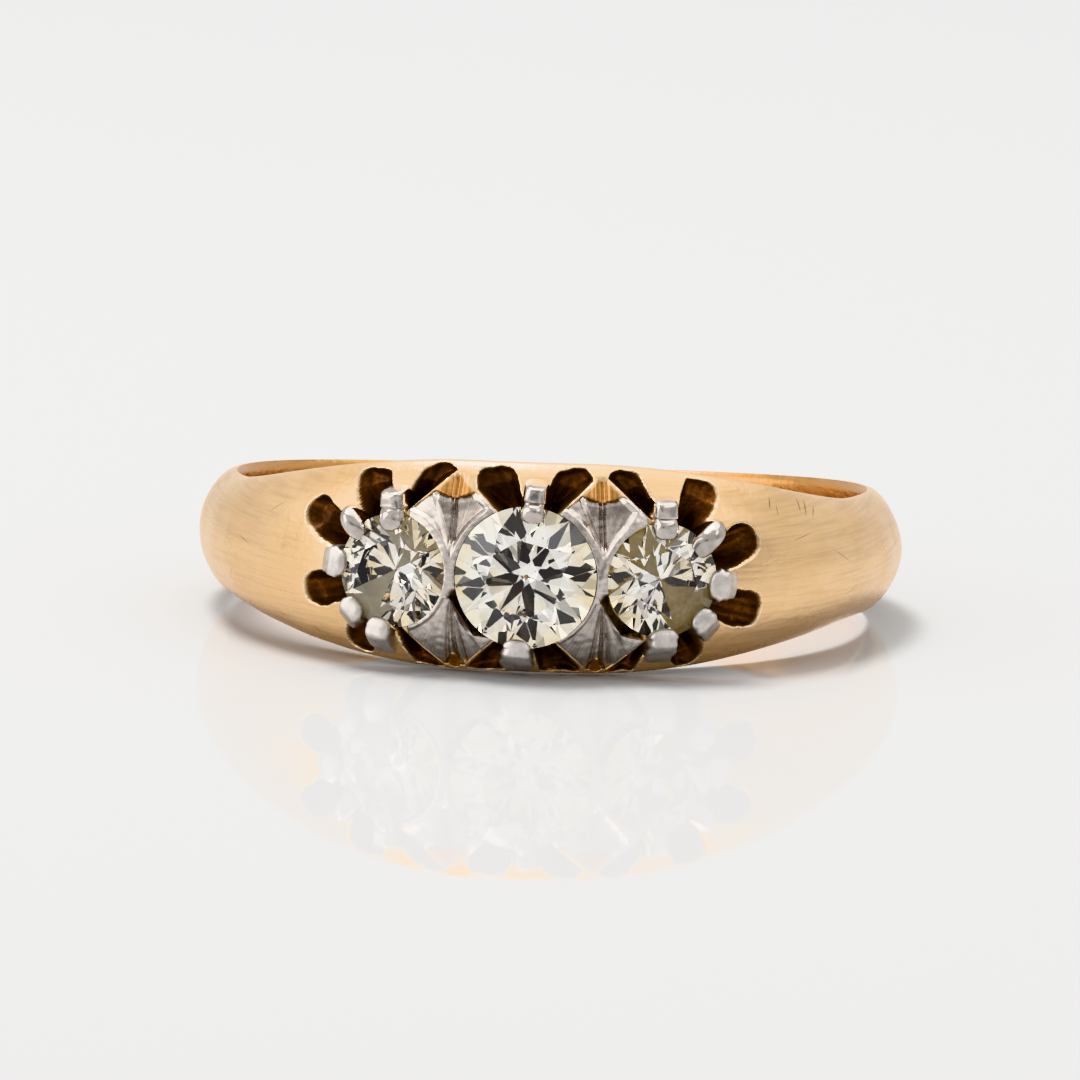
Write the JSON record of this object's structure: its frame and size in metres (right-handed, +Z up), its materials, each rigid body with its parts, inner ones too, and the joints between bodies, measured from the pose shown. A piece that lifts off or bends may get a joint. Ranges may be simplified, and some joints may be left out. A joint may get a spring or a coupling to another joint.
{
  "type": "three stone ring",
  "caption": "Finger ring lying on its side, with a broad carved head that holds a row of brilliant cut stones between engraved white metal bridges and small claws.",
  "frame": {"origin": "On the ground, under the middle of the ring's box", "axes": "The ring lies on its side: Z is up, the head with the stones faces -Y, and X runs across the finger, along the row of stones. The finger hole's axis leans from Z towards +Y by 5.1 degrees, because the head is wider than the shank."},
  "size_m": [0.0196, 0.0209, 0.0058],
  "materials": {
    "gold": "satin, with fine scratches from wear",
    "platinum": "worn, with bright edges",
    "diamond": "polished facets"
  },
  "bodies": {
    "root": {"band": "gold", "left_bridge": "platinum", "right_bridge": "platinum", "left_claw_1": "platinum", "left_claw_2": "platinum", "left_claw_3": "platinum", "left_claw_4": "platinum", "left_claw_5": "platinum", "centre_claw_1": "platinum", "centre_claw_2": "platinum", "right_claw_1": "platinum", "right_claw_2": "platinum", "right_claw_3": "platinum", "right_claw_4": "platinum", "right_claw_5": "platinum", "left_stone": "diamond", "centre_stone": "diamond", "right_stone": "diamond"}
  },
  "joints": []
}
